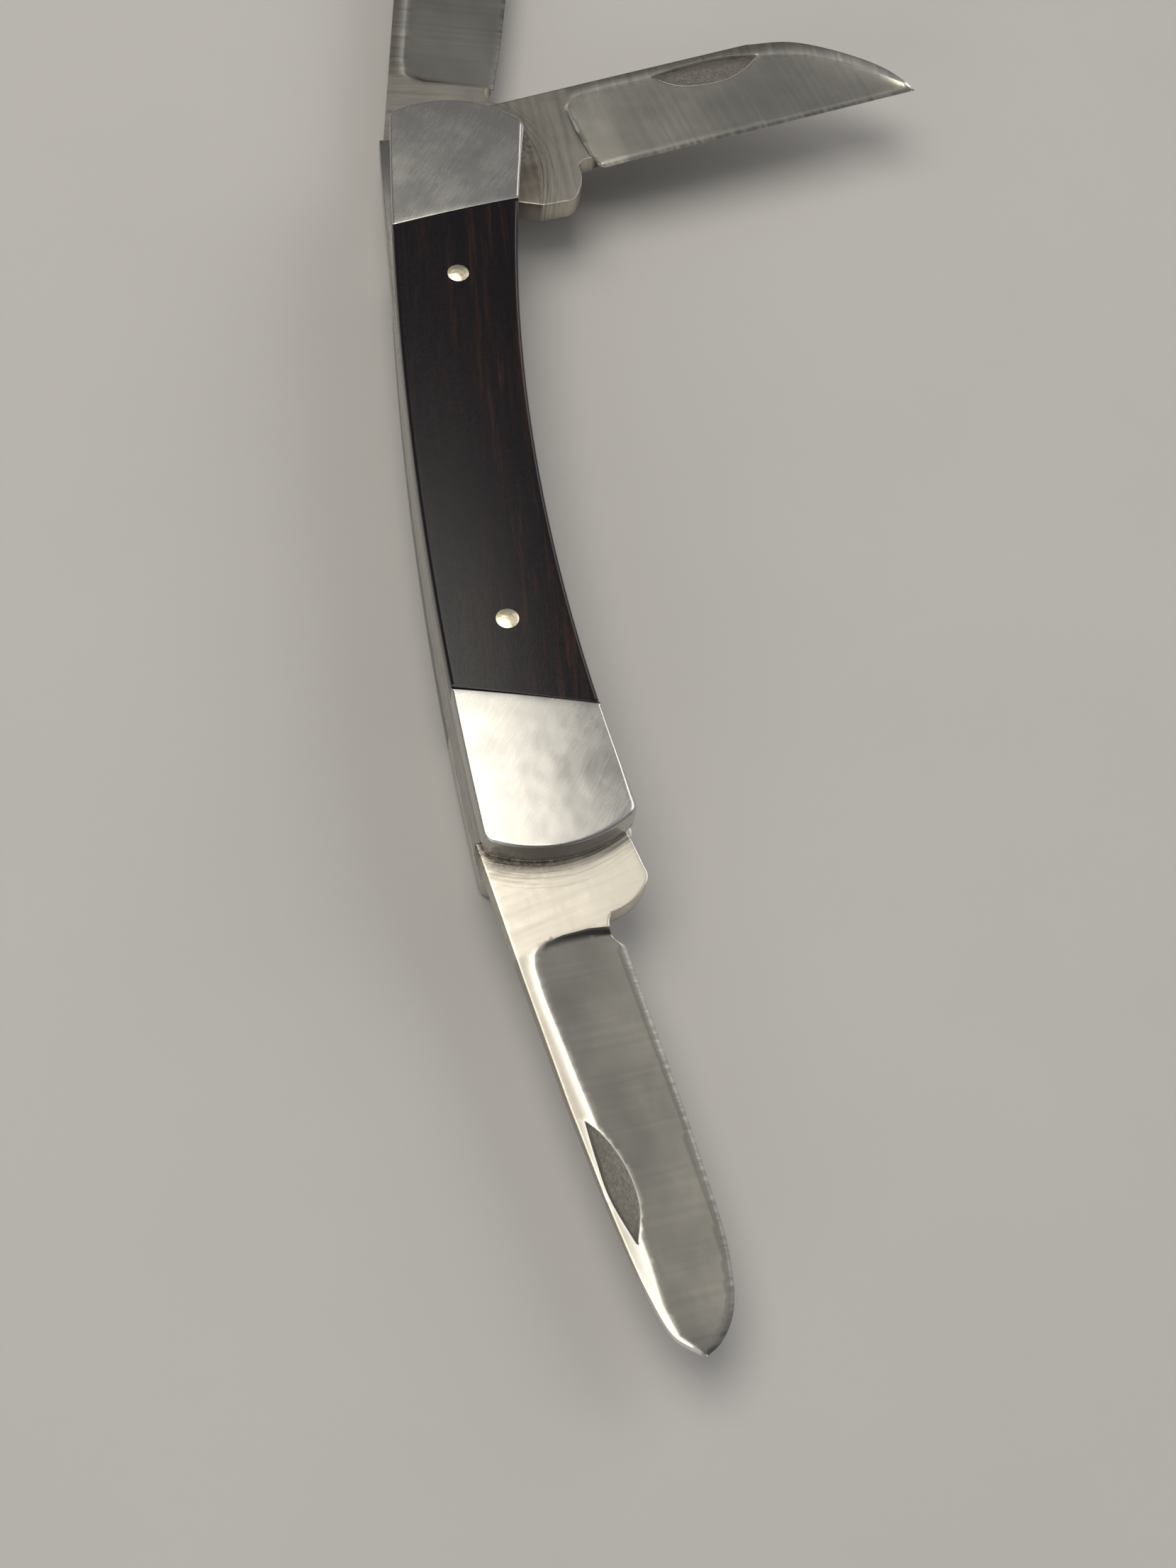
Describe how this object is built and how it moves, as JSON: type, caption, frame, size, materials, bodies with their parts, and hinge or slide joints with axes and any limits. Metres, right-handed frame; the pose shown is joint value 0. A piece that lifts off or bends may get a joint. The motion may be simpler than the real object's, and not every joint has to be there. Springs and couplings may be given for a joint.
{
  "type": "whittling knife",
  "caption": "Folding whittling knife: curved wood-scaled handle with metal bolsters, slip-joint springs along the back, and clip, sheepsfoot and spey blades hinged at its ends.",
  "frame": {"origin": "on the lower flat face of the handle, at mid length, on the line that the handle's curves are measured from", "axes": "+X along the handle to the end that carries the main blade, +Y towards the back with the springs, +Z through the thickness, out of the face that lies up"},
  "size_m": [0.2134, 0.0668, 0.0128],
  "materials": {
    "scale_wood": "polished near-black hardwood with a few reddish streaks",
    "bolster_metal": "polished nickel silver with fine scratches and bright bevelled rims",
    "blade_steel": "satin ground steel, brushed across the blade",
    "spring_steel": "polished spring steel, worn along the back",
    "liner_steel": "thin nickel silver plate, bright at its edges",
    "pin_metal": "pale polished pin heads"
  },
  "bodies": {
    "handle": {"back_liner": "liner_steel", "centre_liner": "liner_steel", "front_liner": "liner_steel", "lower_spring": "spring_steel", "upper_spring": "spring_steel", "main_pivot_pin": "bolster_metal", "spey_pivot_pin": "bolster_metal", "spring_rivet": "spring_steel", "back_scale": "scale_wood", "front_scale": "scale_wood", "back_main_bolster": "bolster_metal", "back_spey_bolster": "bolster_metal", "front_main_bolster": "bolster_metal", "front_spey_bolster": "bolster_metal", "back_scale_pin_main": "pin_metal", "back_scale_pin_spey": "pin_metal", "front_scale_pin_main": "pin_metal", "front_scale_pin_spey": "pin_metal"},
    "main_blade": {"main_blade": "blade_steel"},
    "sheepsfoot_blade": {"sheepsfoot_blade": "blade_steel"},
    "spey_blade": {"spey_blade": "blade_steel"}
  },
  "joints": [
    {"name": "main_blade_pivot", "type": "hinge", "parent": "handle", "child": "main_blade", "pos_m": [0.0406, -0.001, 0.0047], "axis": [0, 0, 1], "range_deg": [-173.5, 0]},
    {"name": "sheepsfoot_blade_pivot", "type": "hinge", "parent": "handle", "child": "sheepsfoot_blade", "pos_m": [0.0406, -0.001, 0.008], "axis": [0, 0, 1], "range_deg": [-103.5, 67.5]},
    {"name": "spey_blade_pivot", "type": "hinge", "parent": "handle", "child": "spey_blade", "pos_m": [-0.0406, -0.001, 0.008], "axis": [0, 0, 1], "range_deg": [0, 174.5]}
  ]
}
